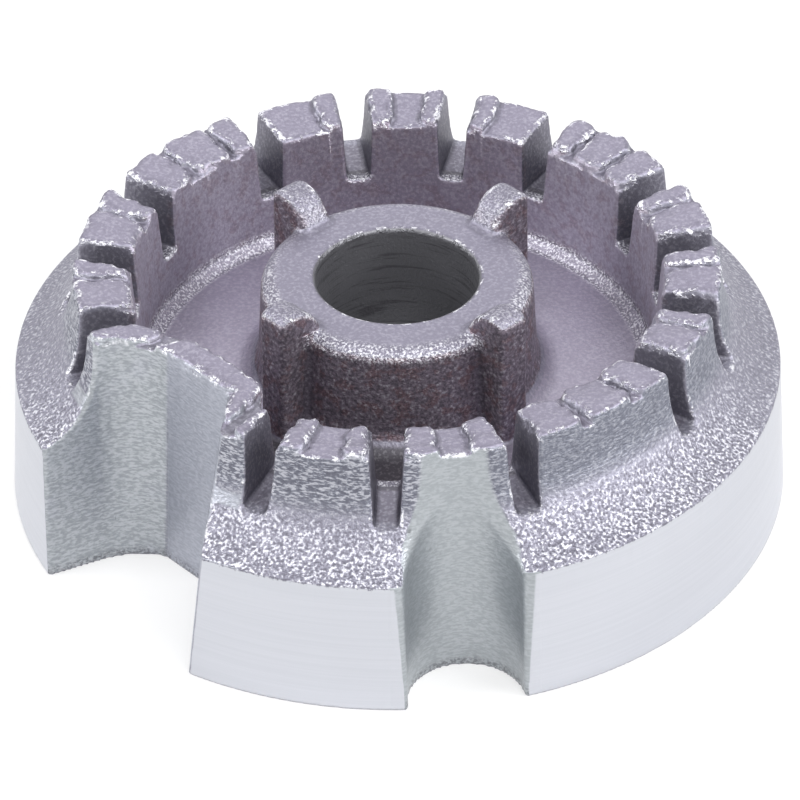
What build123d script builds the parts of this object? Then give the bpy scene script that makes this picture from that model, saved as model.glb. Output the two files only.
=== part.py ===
from build123d import *
import os
from math import atan2, cos, degrees, radians, sin, tan

# A cast flame spreader for a small hob burner, made as one piece.
# Origin: centre of the bottom rim. Z points up and the middle back tooth is on +Y.
# All lengths are in millimetres and all angles in degrees, counter-clockwise from +X.

# Base band, turned smooth
base_radius = 27.5
base_edge_chamfer = 0.15
band_taper = 0.65
band_height = 10.0

# Sloping flange, and the sweep up into the outer faces of the teeth
flange_inner_radius = 23.05
flange_inner_height = 11.6
flange_sweep_radius = 4.0

# Toothed ring
ring_top_height = 17.4
ring_top_inner_height = 16.95
ring_top_radius = 22.45
ring_inner_bevel = 0.35

# Gas chamber inside the ring
chamber_top_radius = 18.5
chamber_floor_radius = 18.0
chamber_floor_height = 8.5
chamber_foot_bevel = 0.5

# Centre boss and its straight mixing bore
boss_top_height = 16.25
boss_top_radius = 9.45
boss_edge_bevel = 0.35
boss_foot_radius = 9.9
boss_foot_round = 1.8
bore_diameter = 11.4
bore_mouth_chamfer = 0.3

# Underside: an open ring between the mixing tube and the outer skirt
tube_wall = 2.3
skirt_wall = 2.2
floor_thickness = 2.0
flange_thickness = 2.4
underside_draft = 1.5
ring_underside_width = 3.0

# Flame ports: slots through the ring, between the teeth
port_angles = (9.3, 30.3, 59.4, 79.5, 100.8, 121.8, 154.8, 177.8, 199.5, 248.2, 270.1, 293.5, 328.6, 348.0)
port_floor_height = 12.3
port_floor_width = 1.7
port_top_width = 2.3
port_start_radius = 14.0
port_end_radius = 26.0

# Narrow grooves across the tops of the wider teeth
groove_angles = (0.5, 21.9, 41.2, 50.6, 131.1, 142.2, 164.1, 186.0, 210.5, 241.6, 306.0, 317.2, 340.4)
groove_depth = 0.5
groove_floor_width = 0.3
groove_top_width = 0.8

# Shallow steps in the tops of the other teeth, as start and end angles
step_spans = ((60.0, 71.5), (87.0, 92.8), (108.6, 121.0), (256.3, 262.0), (279.2, 284.4))
step_depth = 0.6

# Locating lugs against the boss
lug_count = 4
lug_first_angle = 45.0
lug_width = 2.5
lug_top_height = 18.5
lug_inner_height = 17.7
lug_outer_height = 18.2
lug_heel_radius = 7.9
lug_inner_radius = 8.9
lug_crown_radius = 10.8
lug_outer_radius = 11.7
lug_foot_radius = 11.9
lug_corner_round = 0.5
lug_edge_round = 0.35

# Electrode notch. Its plan is drawn at the rim and at the tooth tops, turned by its own
# angle: the first number of a point is outwards from the axis, the second is sideways.
notch_angle = 225.0
notch_wall = 2.2
notch_left_angle = -17.5
notch_right_angle = 45.0
notch_flare_low, notch_flare_high = (22.4, -5.85), (21.1, -7.35)
notch_bulge_low, notch_bulge_high = (20.5, -4.7), (19.2, -5.8)
notch_crease_low, notch_crease_high = (19.25, -3.15), (18.2, -3.15)
notch_corner_low, notch_corner_high = (19.25, 0.35), (18.0, 3.1)

# Sensor notch: a half-round channel that leans inwards as it rises
channel_angle = 281.5
channel_wall = 2.0
channel_reach_low, channel_reach_high = 23.05, 22.2
channel_radius_low, channel_radius_high = 3.95, 3.95

# How far the cutting shapes run past the faces that they cut
clear = 1.0
clear_outside = 5.0

# Worked out from the sizes above
outside_radius = base_radius + clear_outside
band_top_radius = base_radius - band_taper
bore_radius = bore_diameter / 2
ceiling_height = chamber_floor_height - floor_thickness
flange_ceiling = band_height - flange_thickness
tube_radius = bore_radius + tube_wall
tube_root_radius = tube_radius + ceiling_height * tan(radians(underside_draft))
skirt_radius = base_radius - skirt_wall
skirt_root_radius = skirt_radius - flange_ceiling * tan(radians(underside_draft))
ring_underside_radius = chamber_floor_radius + ring_underside_width
ring_top_slope = degrees(atan2(ring_top_height - ring_top_inner_height, ring_top_radius - chamber_top_radius))


def facing_plane(angle, radius, height=0.0, rise=0.0):
    """Plane that faces outwards at a radius and height, tipped up by the rise angle."""
    turn, tip = radians(angle), radians(rise)
    return Plane(
        origin=(radius * cos(turn), radius * sin(turn), height),
        x_dir=(-sin(turn), cos(turn), 0),
        z_dir=(cos(turn) * cos(tip), sin(turn) * cos(tip), sin(tip)),
    )


def radial_plane(angle):
    """Upright plane through the axis, with its x axis pointing outwards at an angle."""
    turn = radians(angle)
    return Plane(origin=(0, 0, 0), x_dir=(cos(turn), sin(turn), 0), z_dir=(sin(turn), -cos(turn), 0))


def round_corner(section, point, radius):
    """Round the corner of a section that lies nearest to a point."""
    fillet(section.vertices().sort_by_distance(point)[0], radius)


def bevel_corner(section, point, length):
    """Bevel the corner of a section that lies nearest to a point."""
    chamfer(section.vertices().sort_by_distance(point)[0], length)


def notch_outline(height, flare, bulge, crease, corner, grow=0.0):
    """Plan of the electrode notch at one height, widened by grow on every side."""
    left_end = flare[1] + (outside_radius - flare[0]) * tan(radians(notch_left_angle))
    right_end = corner[1] + (outside_radius - corner[0]) * tan(radians(notch_right_angle))
    with BuildSketch(Plane.XY.offset(height).rotated((0, 0, notch_angle))) as outline:
        with BuildLine():
            ThreePointArc(flare, bulge, crease)
            Polyline(crease, corner, (outside_radius, right_end), (outside_radius, left_end), flare)
        make_face()
        if grow:
            offset(amount=grow, kind=Kind.INTERSECTION)
    return outline.sketch


def channel_outline(height, reach, radius):
    """Plan of the sensor notch at one height."""
    centre = reach + radius
    with BuildSketch(Plane.XY.offset(height).rotated((0, 0, channel_angle))) as outline:
        with BuildLine():
            ThreePointArc((centre, -radius), (reach, 0), (centre, radius))
            Polyline((centre, radius), (outside_radius, radius), (outside_radius, -radius), (centre, -radius))
        make_face()
    return outline.sketch


def slot_section(plane, depth, floor_width, top_width):
    """Section of a slot that widens upwards from a depth below the plane's origin."""
    with BuildSketch(plane) as section:
        with Locations((0, -depth)):
            Trapezoid(
                top_width,
                depth + clear,
                90 + degrees(atan2((top_width - floor_width) / 2, depth + clear)),
                align=(Align.CENTER, Align.MIN),
            )
    return section.sketch


notch_low = (notch_flare_low, notch_bulge_low, notch_crease_low, notch_corner_low)
notch_high = (notch_flare_high, notch_bulge_high, notch_crease_high, notch_corner_high)

outer_section = [
    (base_radius - base_edge_chamfer, 0),
    (base_radius, base_edge_chamfer),
    (band_top_radius, band_height),
    (flange_inner_radius, flange_inner_height),
    (ring_top_radius, ring_top_height),
    (chamber_top_radius, ring_top_inner_height),
]

# The outside as a plain solid, which bounds the walls behind the notches
with BuildPart() as envelope:
    with BuildSketch(Plane.XZ):
        with BuildLine():
            Polyline((0, 0), *outer_section, (0, ring_top_inner_height), close=True)
        make_face()
    revolve(axis=Axis.Z)

# Space that each notch takes out, from below the rim to above the teeth
with BuildPart() as notch_space:
    loft(
        sections=[notch_outline(0, *notch_low), notch_outline(ring_top_height, *notch_high)],
        ruled=True,
    )
    loft(
        sections=[
            channel_outline(0, channel_reach_low, channel_radius_low),
            channel_outline(ring_top_height, channel_reach_high, channel_radius_high),
        ],
        ruled=True,
    )

# Walls of even thickness that close the part behind both notches
with BuildPart() as notch_walls:
    loft(
        sections=[
            notch_outline(0, *notch_low, grow=notch_wall),
            notch_outline(ring_top_height, *notch_high, grow=notch_wall),
        ],
        ruled=True,
    )
    loft(
        sections=[
            channel_outline(0, channel_reach_low - channel_wall, channel_radius_low + channel_wall),
            channel_outline(
                ring_top_height, channel_reach_high - channel_wall, channel_radius_high + channel_wall
            ),
        ],
        ruled=True,
    )
    add(envelope.part, mode=Mode.INTERSECT)

# Flat steps in the tooth tops, which follow the slope of the ring's top
with BuildPart() as tooth_steps:
    for start, end in step_spans:
        with BuildSketch(radial_plane(start)):
            with BuildLine():
                Polyline(
                    (port_start_radius, ring_top_inner_height - step_depth),
                    (chamber_top_radius, ring_top_inner_height - step_depth),
                    (ring_top_radius, ring_top_height - step_depth),
                    (port_end_radius, ring_top_height - step_depth),
                    (port_end_radius, ring_top_height + clear),
                    (port_start_radius, ring_top_height + clear),
                    close=True,
                )
            make_face()
        revolve(axis=Axis.Z, revolution_arc=end - start)

with BuildPart() as lug:
    with BuildSketch(Plane.XZ) as lug_side:
        with BuildLine():
            Polyline(
                (lug_outer_radius, lug_outer_height),
                (lug_foot_radius, ceiling_height),
                (lug_heel_radius, ceiling_height),
                (lug_heel_radius, boss_top_height),
                (lug_inner_radius, lug_inner_height),
            )
            ThreePointArc(
                (lug_inner_radius, lug_inner_height),
                (lug_crown_radius, lug_top_height),
                (lug_outer_radius, lug_outer_height),
            )
        make_face()
        round_corner(lug_side, (lug_inner_radius, lug_inner_height), lug_corner_round)
        round_corner(lug_side, (lug_outer_radius, lug_outer_height), lug_corner_round)
    extrude(amount=lug_width / 2, both=True)
    top_edges = lug.faces().filter_by(Axis.Y).edges().filter_by_position(
        Axis.Z, boss_top_height - lug_edge_round, lug_top_height
    )
    fillet(top_edges, lug_edge_round)

with BuildPart() as flame_spreader:
    with BuildSketch(Plane.XZ) as section:
        with BuildLine():
            Polyline(
                (bore_radius, 0),
                (tube_radius, 0),
                (tube_root_radius, ceiling_height),
                (chamber_floor_radius, ceiling_height),
                (ring_underside_radius, flange_ceiling),
                (skirt_root_radius, flange_ceiling),
                (skirt_radius, 0),
                *outer_section,
                (chamber_floor_radius, chamber_floor_height),
                (boss_foot_radius, chamber_floor_height),
                (boss_top_radius, boss_top_height),
                (bore_radius + bore_mouth_chamfer, boss_top_height),
                (bore_radius, boss_top_height - bore_mouth_chamfer),
                close=True,
            )
        make_face()
        round_corner(section, (flange_inner_radius, flange_inner_height), flange_sweep_radius)
        bevel_corner(section, (chamber_top_radius, ring_top_inner_height), ring_inner_bevel)
        bevel_corner(section, (chamber_floor_radius, chamber_floor_height), chamber_foot_bevel)
        round_corner(section, (boss_foot_radius, chamber_floor_height), boss_foot_round)
        bevel_corner(section, (boss_top_radius, boss_top_height), boss_edge_bevel)
    revolve(axis=Axis.Z)

    with PolarLocations(0, lug_count, start_angle=lug_first_angle):
        add(lug.part)

    add(notch_walls.part)
    add(notch_space.part, mode=Mode.SUBTRACT)

    port_depth = ring_top_height - port_floor_height
    for angle in port_angles:
        port_plane = facing_plane(angle, port_start_radius, ring_top_height)
        port_section = slot_section(port_plane, port_depth, port_floor_width, port_top_width)
        extrude(port_section, amount=port_end_radius - port_start_radius, mode=Mode.SUBTRACT)

    for angle in groove_angles:
        groove_plane = facing_plane(angle, chamber_top_radius, ring_top_inner_height, ring_top_slope)
        groove_section = slot_section(groove_plane, groove_depth, groove_floor_width, groove_top_width)
        extrude(groove_section, amount=port_end_radius - chamber_top_radius, both=True, mode=Mode.SUBTRACT)

    add(tooth_steps.part, mode=Mode.SUBTRACT)

os.makedirs("parts", exist_ok=True)
flame_spreader.part.label = "flame_spreader"
export_step(flame_spreader.part, "parts/flame_spreader.step")
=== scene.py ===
"""Looks of a cast flame spreader for a small gas burner.

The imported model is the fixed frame. One casting stands for it: a closed surface worked out with
numpy from the part's own sizes, with the eased edges, domed pads and soft lips of a die casting,
and dressed zone by zone. The form is worked out in millimetres and put into the mesh in metres.
"""

import logging
import math
from collections.abc import Callable, Iterator
from dataclasses import asdict, dataclass, field
from functools import partial

import bpy
import numpy as np
from mathutils import Matrix, Vector


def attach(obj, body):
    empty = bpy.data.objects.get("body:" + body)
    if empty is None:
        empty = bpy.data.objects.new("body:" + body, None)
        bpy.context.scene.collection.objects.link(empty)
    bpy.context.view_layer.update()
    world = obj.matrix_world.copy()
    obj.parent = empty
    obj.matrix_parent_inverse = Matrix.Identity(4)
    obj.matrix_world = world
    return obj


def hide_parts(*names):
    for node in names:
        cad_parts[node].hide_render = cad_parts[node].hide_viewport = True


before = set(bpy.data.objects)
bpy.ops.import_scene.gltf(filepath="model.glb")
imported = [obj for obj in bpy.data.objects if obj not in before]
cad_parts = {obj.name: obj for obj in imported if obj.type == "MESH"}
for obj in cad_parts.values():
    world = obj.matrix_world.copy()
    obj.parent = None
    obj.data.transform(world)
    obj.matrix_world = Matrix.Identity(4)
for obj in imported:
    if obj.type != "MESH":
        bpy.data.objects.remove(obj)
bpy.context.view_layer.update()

MM = 0.001
WHITE = (1.0, 1.0, 1.0, 1.0)
FAR = 99.0
SECTION_STEP = 0.05
TOPS_STEP = 0.1
log = logging.getLogger("flame_spreader")

Array = np.ndarray
Corner = tuple[float, float, float]
Pair = tuple[float, float]
Screen = tuple[int, int, int]
Socket = bpy.types.NodeSocket


@dataclass(frozen=True)
class Sizes:
    """Sizes of the casting in millimetres and degrees.

    They are its source's, apart from the foot bevel, the sweep, the turn of the notch's right
    side at the tooth tops and the wide grooves, which follow the real part more closely.
    """

    base_radius: float = 27.5
    band_top_radius: float = 26.85
    band_height: float = 10.0
    flange_radius: float = 23.05
    flange_height: float = 11.6
    sweep_radius: float = 6.0
    ring_radius: float = 22.45
    ring_height: float = 17.4
    chamber_radius: float = 18.5
    chamber_height: float = 16.95
    floor_radius: float = 18.0
    floor_height: float = 8.5
    foot_bevel: float = 0.7
    boss_radius: float = 9.45
    boss_foot_radius: float = 9.9
    boss_height: float = 16.25
    bore_radius: float = 5.7
    tube_radius: float = 8.0
    tube_root_radius: float = 8.17
    ceiling_height: float = 6.5
    flange_ceiling: float = 7.6
    ring_underside: float = 21.0
    skirt_radius: float = 25.3
    skirt_root_radius: float = 25.1
    port_angles: tuple[float, ...] = (
        9.3, 30.3, 59.4, 79.5, 100.8, 121.8, 154.8, 177.8, 199.5, 248.2, 270.1, 293.5, 328.6, 348.0)
    port_floor: float = 12.3
    port_floor_width: float = 1.7
    port_top_width: float = 2.25
    port_start: float = 14.0
    port_end: float = 1.0
    groove_angles: tuple[float, ...] = (
        0.5, 21.9, 41.2, 50.6, 131.1, 142.2, 164.1, 186.0, 210.5, 241.6, 306.0, 317.2, 340.4)
    groove_depth: float = 0.5
    groove_width: float = 0.15
    wide_grooves: tuple[float, ...] = (210.5, 241.6)
    wide_groove_width: float = 0.4
    steps: tuple[Pair, ...] = (
        (57.0, 71.5), (87.0, 92.8), (108.6, 124.0), (256.3, 262.0), (279.2, 284.4))
    step_depth: float = 0.6
    lug_angle: float = 45.0
    lug_half_width: float = 1.25
    lug_profile: tuple[Corner, ...] = (
        (11.88, 8.0, 0.0), (11.7, 18.0, 0.6), (10.85, 18.58, 1.2), (9.6, 18.25, 1.2),
        (8.9, 17.7, 0.9), (7.9, 16.2, 0.3), (7.9, 8.0, 0.0))
    notch_angle: float = 225.0
    notch_left: float = -17.5
    notch_rights: Pair = (45.0, 40.0)
    notch_low: tuple[Pair, ...] = ((22.4, -5.85), (20.5, -4.7), (19.25, -3.15), (19.25, 0.35))
    notch_high: tuple[Pair, ...] = ((21.1, -7.35), (19.2, -5.8), (18.2, -3.15), (18.0, 3.1))
    notch_wall: float = 2.2
    notch_least: Pair = (1.0, 13.0)
    channel_angle: float = 281.5
    channel_reach: Pair = (23.05, 22.2)
    channel_radius: float = 3.95
    channel_wall: float = 2.0
    outside: float = 34.0
    above_ring: float = 1.6
    below_rim: float = 1.2
    envelope_margin: float = 0.08


@dataclass(frozen=True)
class Rounds:
    """Radii of the eased edges and heights of the lumps in millimetres, which the source leaves
    out or keeps small."""

    rim: float = 0.15
    band_edge: float = 0.3
    bore_foot: float = 0.15
    bore_mouth: float = 0.3
    tube_foot: float = 0.3
    skirt_foot: float = 0.2
    ceiling_roots: tuple[float, float, float, float] = (0.8, 1.0, 0.8, 0.8)
    bevel_edges: Pair = (0.15, 0.2)
    boss_foot: float = 1.8
    boss_edge: float = 0.95
    wall_foot: float = 0.6
    channel_lips: tuple[float, float, float] = (0.25, 1.15, 0.7)
    notch_lips: Pair = (0.15, 0.35)
    port_lip: float = 0.22
    port_corner: float = 0.3
    lug_edge: float = 0.45
    lug_foot: float = 0.4
    pad_rise: float = 0.25
    pad_plan_depth: float = 0.3
    pad_overhang: Pair = (0.05, 0.1)
    top_steepness: float = 0.9
    pad_edge: float = 0.34
    pad_corner: float = 0.9
    tooth_corner: float = 0.5
    pad_dome: float = 0.16
    dome_reach: float = 1.8
    step_edge: float = 0.3
    step_sag: float = 0.25
    pad_wave: Pair = (0.09, 3.0)
    skin_wave: Pair = (0.014, 2.2)
    lip_wave: float = 0.05
    long_wave: Pair = (0.035, 9.0)


def turned(across: Array, along: Array, angle: float) -> tuple[Array, Array]:
    """How far points lie ahead of the axis and to its left, for a direction in plan in degrees."""
    turn = math.radians(angle)
    return (across * math.cos(turn) + along * math.sin(turn),
            along * math.cos(turn) - across * math.sin(turn))


def fade(value: Array, low: float, high: float) -> Array:
    """Smooth step from 0 at low to 1 at high, as 3t^2 - 2t^3 of the share t between them."""
    share = np.clip((value - low) / (high - low), 0.0, 1.0)
    return share * share * (3.0 - 2.0 * share)


def quarter(share: Array) -> Array:
    """Drop of a quarter circle from 1 at share 0 to 0 at share 1: 1 - sqrt(1 - (1 - share)^2)."""
    return 1.0 - np.sqrt(1.0 - np.clip(1.0 - share, 0.0, 1.0) ** 2)


def join(first: Array, second: Array, ease: "Array | float") -> Array:
    """Union of two distance fields, with a hollow round of radius ease where they meet.

    The smaller distance, but at least ease, less the length of the pair of amounts by which each
    distance falls short of ease.
    """
    missing = np.hypot(np.maximum(ease - first, 0.0), np.maximum(ease - second, 0.0))
    return np.maximum(np.minimum(first, second), ease) - missing


def meet(first: Array, second: Array, ease: "Array | float") -> Array:
    """Intersection of two distance fields, with their common edge rounded to radius ease."""
    return -join(-first, -second, ease)


def cut(first: Array, tool: Array, ease: "Array | float") -> Array:
    """A distance field less a tool's, with the new edges rounded to radius ease."""
    return -join(-first, tool, ease)


def swing(centre: Array, start: Array, end: Array, pieces: int) -> Array:
    """Points on a circle in even turns from one to another: the centre plus the turned start.

    Args:
        centre: The circle's centre.
        start: The way from there to the first point.
        end: The way to the last point.
        pieces: How many turns.

    Returns:
        The points.
    """
    sweep = math.atan2(start[0] * end[1] - start[1] * end[0], start @ end)
    turns = np.linspace(0.0, sweep, pieces + 1)
    return np.column_stack((centre[0] + start[0] * np.cos(turns) - start[1] * np.sin(turns),
                            centre[1] + start[0] * np.sin(turns) + start[1] * np.cos(turns)))


def rounded(corners: list[Corner], pieces: int = 6) -> list[Pair]:
    """Outline whose corners are arcs.

    Args:
        corners: Points, each with the radius of its round.
        pieces: Straight pieces that stand for one arc.

    Returns:
        The points. An arc's points lie on the circle that touches both sides, from one touching
        point to the other.
    """
    points = []
    for number, (first, second, radius) in enumerate(corners):
        here = np.array((first, second))
        if radius <= 0:
            points.append((first, second))
            continue
        back = np.array(corners[number - 1][:2]) - here
        ahead = np.array(corners[(number + 1) % len(corners)][:2]) - here
        back, ahead = back / np.linalg.norm(back), ahead / np.linalg.norm(ahead)
        half = math.acos(float(np.clip(back @ ahead, -1, 1))) / 2
        middle = (back + ahead) / np.linalg.norm(back + ahead)
        centre = here + middle * radius / math.sin(half)
        reach = radius / math.tan(half)
        start, end = here + back * reach - centre, here + ahead * reach - centre
        points.extend(map(tuple, swing(centre, start, end, pieces)))
    return points


def arc(start: tuple, middle: tuple, end: tuple, pieces: int = 6) -> Array:
    """Points of the circle through three points, in even turns from the first to the last.

    Args:
        start: The first point.
        middle: A point between.
        end: The last point.
        pieces: How many even turns.

    Returns:
        The points. The centre is as far from each of the three, which gives two straight
        equations in its two values.
    """
    (ax, ay), (bx, by), (cx, cy) = start, middle, end
    scale = 2 * (ax * (by - cy) + bx * (cy - ay) + cx * (ay - by))
    square = [x * x + y * y for x, y in (start, middle, end)]
    centre = np.array((
        (square[0] * (by - cy) + square[1] * (cy - ay) + square[2] * (ay - by)) / scale,
        (square[0] * (cx - bx) + square[1] * (ax - cx) + square[2] * (bx - ax)) / scale))
    return swing(centre, np.array(start) - centre, np.array(end) - centre, pieces)


def lumps(shape: tuple[int, int], wave: Pair, seed: int) -> Array:
    """Smooth random lumps on a grid: even random noise whose frequencies are scaled by
    exp(-2 (pi spread f)^2).

    Args:
        shape: Size of the grid.
        wave: Deviation of the values, and the spread of the lumps in grid cells.
        seed: Start of the random numbers.

    Returns:
        The values.
    """
    height, spread = wave
    noise = np.random.default_rng(seed).standard_normal(shape)
    first, second = np.fft.fftfreq(shape[0])[:, None], np.fft.rfftfreq(shape[1])[None, :]
    share = np.exp(-2 * (math.pi * spread) ** 2 * (first ** 2 + second ** 2))
    smooth = np.fft.irfft2(np.fft.rfft2(noise) * share, shape)
    return height * (smooth / smooth.std())


def outline_distance(first: Array, second: Array, outline: list) -> Array:
    """Signed distance to a closed outline, below 0 inside.

    Its size is the least distance to any side, which is the length of what is left of the way
    from the side's start once its part along the side is taken off. A point is inside if a ray
    from it crosses the sides an odd number of times.

    Args:
        first: The points' first values.
        second: Their second values.
        outline: The corners, whose values may differ from point to point.

    Returns:
        The distances.
    """
    least = inside = None
    for (ax, ay), (bx, by) in zip(outline, outline[1:] + outline[:1]):
        sx, sy = bx - ax, by - ay
        px, py = first - ax, second - ay
        share = np.clip((px * sx + py * sy) / (sx * sx + sy * sy), 0.0, 1.0)
        square = (px - share * sx) ** 2 + (py - share * sy) ** 2
        least = square if least is None else np.minimum(least, square)
        level = np.where(sy == 0, 1.0, sy)
        crossed = ((py >= 0) != (second >= by)) & (px < py * sx / level)
        inside = crossed if inside is None else inside ^ crossed
    least = np.sqrt(least)
    return np.where(inside, -least, least)


class Table:
    """Values on an even grid over two lengths, read between its points."""

    def __init__(self, low: Pair, high: Pair, step: float, formula: Callable[..., Array]) -> None:
        """Lay out the grid and fill it.

        Args:
            low: The lowest pair.
            high: The highest pair.
            step: Spacing in millimetres.
            formula: Gives the values from the two lengths at every point.
        """
        self.low, self.step = low, step
        lengths = (np.arange(start, end, step) for start, end in zip(low, high))
        self.values = formula(*np.meshgrid(*lengths, indexing="ij")).astype(np.float32)

    def read(self, first: Array, second: Array) -> Array:
        """Values at points, each the mean of the four nearest entries weighted by nearness.

        Args:
            first: The points' first lengths.
            second: Their second lengths.

        Returns:
            The values.
        """
        first, second = np.broadcast_arrays(first, second)
        length, width = self.values.shape
        row = np.clip((first - self.low[0]) / self.step, 0, length - 1.01).astype(np.float32)
        column = np.clip((second - self.low[1]) / self.step, 0, width - 1.01).astype(np.float32)
        whole_row, whole_column = row.astype(np.int32), column.astype(np.int32)
        row, column = row - whole_row, column - whole_column
        place = whole_row * width + whole_column
        flat = self.values.ravel()
        lower = flat[place] * (1 - column) + flat[place + 1] * column
        place += width
        upper = flat[place] * (1 - column) + flat[place + 1] * column
        return lower * (1 - row) + upper * row


class CastForm:
    """The casting as one signed distance, in millimetres, below 0 in the metal.

    In its methods across, along and height are the points' x, y and z values.
    """

    def __init__(self, sizes: Sizes, rounds: Rounds) -> None:
        """Work out the turned section, the side of a lug and the tooth tops as tables.

        Args:
            sizes: The casting's sizes.
            rounds: Its eased edges.
        """
        self.sizes, self.rounds = sizes, rounds
        self.section, self.envelope, self.lug_side = (
            Table(low, high, SECTION_STEP, partial(outline_distance, outline=outline))
            for low, high, outline in (
                ((-0.5, -1.5), (30.0, 20.5), self.section_outline()),
                ((-0.5, -1.5), (30.0, 20.5), self.envelope_outline()),
                ((6.0, 6.0), (14.0, 20.5), rounded(list(sizes.lug_profile)))))
        low, high = (
            self.notch_corners(plan, right)
            for plan, right in zip((sizes.notch_low, sizes.notch_high), sizes.notch_rights))
        self.notch_plan = low, high - low
        self.tops = Table((-24.5, -24.5), (24.5, 24.5), TOPS_STEP, self.top_heights)

    def outer_corners(self) -> list[Corner]:
        """The outside from the rim to above the teeth, where the tooth tops cut it off.

        Returns:
            The corners, each with the radius of its round.
        """
        sizes = self.sizes
        lean = (sizes.flange_radius - sizes.ring_radius) / (sizes.ring_height - sizes.flange_height)
        return [
            (sizes.band_top_radius, sizes.band_height, self.rounds.band_edge),
            (sizes.flange_radius, sizes.flange_height, sizes.sweep_radius),
            (sizes.ring_radius - sizes.above_ring * lean, sizes.ring_height + sizes.above_ring, 0.0)]

    def section_outline(self) -> list[Pair]:
        """The turned section of the casting.

        Returns:
            Its points, with the corners rounded.
        """
        sizes, rounds, floor = self.sizes, self.rounds, self.sizes.floor_height
        above = sizes.ring_height + sizes.above_ring
        lean = (sizes.chamber_radius - sizes.floor_radius) / (sizes.chamber_height - floor)
        bevel = sizes.foot_bevel
        hollow = zip(
            (sizes.tube_root_radius, sizes.floor_radius, sizes.ring_underside, sizes.skirt_root_radius),
            (sizes.ceiling_height, sizes.ceiling_height, sizes.flange_ceiling, sizes.flange_ceiling),
            rounds.ceiling_roots)
        return rounded([
            (sizes.bore_radius, 0.0, rounds.bore_foot),
            (sizes.tube_radius, 0.0, rounds.tube_foot),
            *hollow,
            (sizes.skirt_radius, 0.0, rounds.skirt_foot),
            (sizes.base_radius, 0.0, rounds.rim),
            *self.outer_corners(),
            (sizes.floor_radius + lean * (above - floor), above, 0.0),
            (sizes.floor_radius + lean * bevel, floor + bevel, rounds.bevel_edges[0]),
            (sizes.floor_radius - bevel, floor, rounds.bevel_edges[1]),
            (sizes.boss_foot_radius, floor, rounds.boss_foot),
            (sizes.boss_radius, sizes.boss_height, rounds.boss_edge),
            (sizes.bore_radius, sizes.boss_height, rounds.bore_mouth)])

    def envelope_outline(self) -> list[Pair]:
        """The outside as a plain solid, carried on below the rim and past the axis.

        Returns:
            Its points.
        """
        sizes = self.sizes
        return rounded([
            (-1.0, -sizes.below_rim, 0.0),
            (sizes.base_radius + sizes.envelope_margin, -sizes.below_rim, 0.0),
            *self.outer_corners(),
            (-1.0, sizes.ring_height + sizes.above_ring, 0.0)])

    def notch_corners(self, plan: tuple[Pair, ...], right_turn: float) -> Array:
        """Corners of the electrode notch at one height.

        Args:
            plan: The flare's outer end, a point of its bulge, its crease and the corner.
            right_turn: How far the right side is turned from straight ahead, in degrees.

        Returns:
            The corners, ahead of the axis and to its left.
        """
        sizes = self.sizes
        flare, bulge, crease, corner = plan
        right = corner[1] + (sizes.outside - corner[0]) * math.tan(math.radians(right_turn))
        left = flare[1] + (sizes.outside - flare[0]) * math.tan(math.radians(sizes.notch_left))
        return np.vstack((arc(flare, bulge, crease), corner, (sizes.outside, right), (sizes.outside, left)))

    def notch(self, across: Array, along: Array, height: Array) -> Array:
        """Distance to the electrode notch, whose corners move evenly from their places at the rim
        to those at the tooth tops.

        Args:
            across, along, height: The points.

        Returns:
            The distances.
        """
        ahead, aside = turned(across, along, self.sizes.notch_angle)
        share = height / self.sizes.ring_height
        low, change = (part.tolist() for part in self.notch_plan)
        corners = [
            tuple(start + moved * share for start, moved in zip(*pair)) for pair in zip(low, change)]
        return outline_distance(ahead, aside, corners)

    def channel(self, across: Array, along: Array, height: Array) -> Array:
        """Distance to the sensor channel: to a circle behind its centre, to a straight side past it.

        Args:
            across, along, height: The points.

        Returns:
            The distances.
        """
        sizes = self.sizes
        ahead, aside = turned(across, along, sizes.channel_angle)
        low, high = sizes.channel_reach
        centre = low + (high - low) / sizes.ring_height * height + sizes.channel_radius
        return np.hypot(np.minimum(ahead - centre, 0.0), aside) - sizes.channel_radius

    def channel_lip(self, height: Array) -> Array:
        """Round of the channel's edges, which grows evenly up the band and is less on the ring.

        Args:
            height: The points' heights.

        Returns:
            The radii.
        """
        foot, band, ring = self.rounds.channel_lips
        grown = foot + (band - foot) * np.clip(height / self.sizes.band_height, 0.0, 1.0)
        return grown + (ring - band) * fade(height, self.sizes.band_height, self.sizes.port_floor)

    def notch_lip(self, height: Array) -> Array:
        """Round of the electrode notch's edges, which is least on the band."""
        band, ring = self.rounds.notch_lips
        return band + (ring - band) * fade(height, self.sizes.band_height, self.sizes.flange_height)

    def ports(self, across: Array, along: Array, height: Array) -> Array:
        """Distance to the nearest slot: the most of its side, floor and inner end distances.

        Args:
            across, along, height: The points.

        Returns:
            The distances.
        """
        sizes = self.sizes
        rise = (sizes.port_top_width - sizes.port_floor_width) / (sizes.ring_height - sizes.port_floor)
        half = (sizes.port_floor_width + rise * (height - sizes.port_floor)) / 2
        sideways = None
        for angle in sizes.port_angles:
            ahead, aside = turned(across, along, angle)
            reach = np.maximum(np.abs(aside), sizes.port_start - ahead + sizes.port_end)
            sideways = reach if sideways is None else np.minimum(sideways, reach)
        return meet(sideways - half, sizes.port_floor - height, self.rounds.port_corner)

    def lugs(self, across: Array, along: Array, height: Array) -> Array:
        """Distance to the nearest lug. The plan is folded, so that the four fall on one.

        Args:
            across, along, height: The points.

        Returns:
            The distances.
        """
        ahead, aside = turned(np.abs(across), np.abs(along), self.sizes.lug_angle)
        side = self.lug_side.read(ahead, height)
        return meet(side, np.abs(aside) - self.sizes.lug_half_width, self.rounds.lug_edge)

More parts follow.
